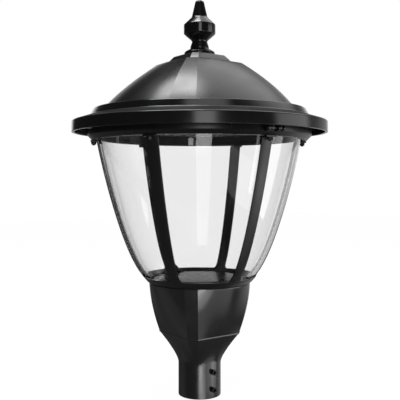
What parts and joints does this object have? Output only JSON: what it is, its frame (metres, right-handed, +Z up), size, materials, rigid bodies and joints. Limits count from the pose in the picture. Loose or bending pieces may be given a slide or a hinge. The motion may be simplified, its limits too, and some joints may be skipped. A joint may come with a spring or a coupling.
{
  "type": "led area light",
  "caption": "Black post-top LED lantern: slip-fitter base, clear acrylic bowl in a strap cage, hinged cast roof with LED boards and driver, turned finial.",
  "frame": {"origin": "centre of the mouth of the tenon bore, at the bottom of the fitter tube", "axes": "+Z up the post towards the finial; the roof hinge is on the -Y side and the latch on the +Y side"},
  "size_m": [0.5381, 0.5382, 0.8376],
  "materials": {
    "painted_castings": "satin black powder coat over cast aluminium",
    "painted_straps": "satin black powder coat over flat aluminium bar",
    "painted_plate": "satin black paint over sheet aluminium",
    "dark_fasteners": "black oxide steel",
    "bright_fasteners": "plain stainless steel",
    "bare_aluminium": "brushed aluminium",
    "clear_acrylic": "clear gloss acrylic",
    "seals": "matte black sponge rubber",
    "led_boards": "white solder mask",
    "lenses": "clear moulded optic over yellow emitters",
    "terminal_plastic": "ivory moulded plastic",
    "surge_case": "dark red potted case",
    "driver_case": "light grey painted aluminium case",
    "ground_green": "green painted steel",
    "black_plastic": "black moulded plastic",
    "black_lead": "black sheathed lead",
    "red_lead": "red sheathed lead"
  },
  "bodies": {
    "lantern_base": {"base_casting": "painted_castings", "gear_bracket": "bare_aluminium", "bracket_screws": "bright_fasteners", "terminal_block": "terminal_plastic", "surge_protector": "surge_case", "ground_screw": "ground_green", "base_seal": "seals", "cage_ring": "painted_castings", "cage_strap_1": "painted_straps", "cage_strap_2": "painted_straps", "cage_strap_3": "painted_straps", "cage_strap_4": "painted_straps", "cage_strap_5": "painted_straps", "cage_strap_6": "painted_straps", "ring_screws": "bright_fasteners", "strap_screws": "dark_fasteners", "base_cover": "painted_plate", "cover_screws": "bright_fasteners", "cover_grommet": "seals", "bowl_seat_seal": "seals", "bowl": "clear_acrylic", "bowl_top_seal": "seals", "frame_ring": "painted_castings", "bowl_clips": "bright_fasteners", "clip_screws": "bright_fasteners", "roof_seal": "seals", "hinge_pin": "dark_fasteners", "supply_socket": "black_plastic", "supply_lead": "black_lead"},
    "roof": {"roof_casting": "painted_castings", "roof_cap": "painted_castings", "finial": "painted_castings", "finial_stud": "bright_fasteners", "finial_nut": "bright_fasteners", "light_plate": "bare_aluminium", "plate_screws": "bright_fasteners", "led_board_1": "led_boards", "led_board_2": "led_boards", "led_board_3": "led_boards", "led_board_4": "led_boards", "lens_sheet_1": "lenses", "lens_sheet_2": "lenses", "lens_sheet_3": "lenses", "lens_sheet_4": "lenses", "sheet_screws": "bright_fasteners", "driver": "driver_case", "driver_screws": "bright_fasteners", "supply_plug": "black_plastic", "supply_harness": "black_lead", "led_harness": "red_lead", "plate_grommet": "seals"},
    "latch": {"latch_screw": "dark_fasteners"},
    "set_screw_low_hinge_side": {"set_screw_1": "dark_fasteners"},
    "set_screw_high_hinge_side": {"set_screw_2": "dark_fasteners"},
    "set_screw_low_latch_side": {"set_screw_3": "dark_fasteners"},
    "set_screw_high_latch_side": {"set_screw_4": "dark_fasteners"}
  },
  "joints": [
    {"name": "roof_hinge", "type": "hinge", "parent": "lantern_base", "child": "roof", "pos_m": [0, -0.24091, 0.5505], "axis": [1, 0, 0], "range_deg": [0, 95]},
    {"name": "latch_slide", "type": "slide", "parent": "lantern_base", "child": "latch", "axis": [0, 0, 1], "range_m": [-0.0095, 0]},
    {"name": "set_screw_low_hinge_side_slide", "type": "slide", "parent": "lantern_base", "child": "set_screw_low_hinge_side", "axis": [0, 1, 0], "range_m": [0, 0.008]},
    {"name": "set_screw_high_hinge_side_slide", "type": "slide", "parent": "lantern_base", "child": "set_screw_high_hinge_side", "axis": [0, 1, 0], "range_m": [0, 0.008]},
    {"name": "set_screw_low_latch_side_slide", "type": "slide", "parent": "lantern_base", "child": "set_screw_low_latch_side", "axis": [0, -1, 0], "range_m": [0, 0.008]},
    {"name": "set_screw_high_latch_side_slide", "type": "slide", "parent": "lantern_base", "child": "set_screw_high_latch_side", "axis": [0, -1, 0], "range_m": [0, 0.008]}
  ]
}
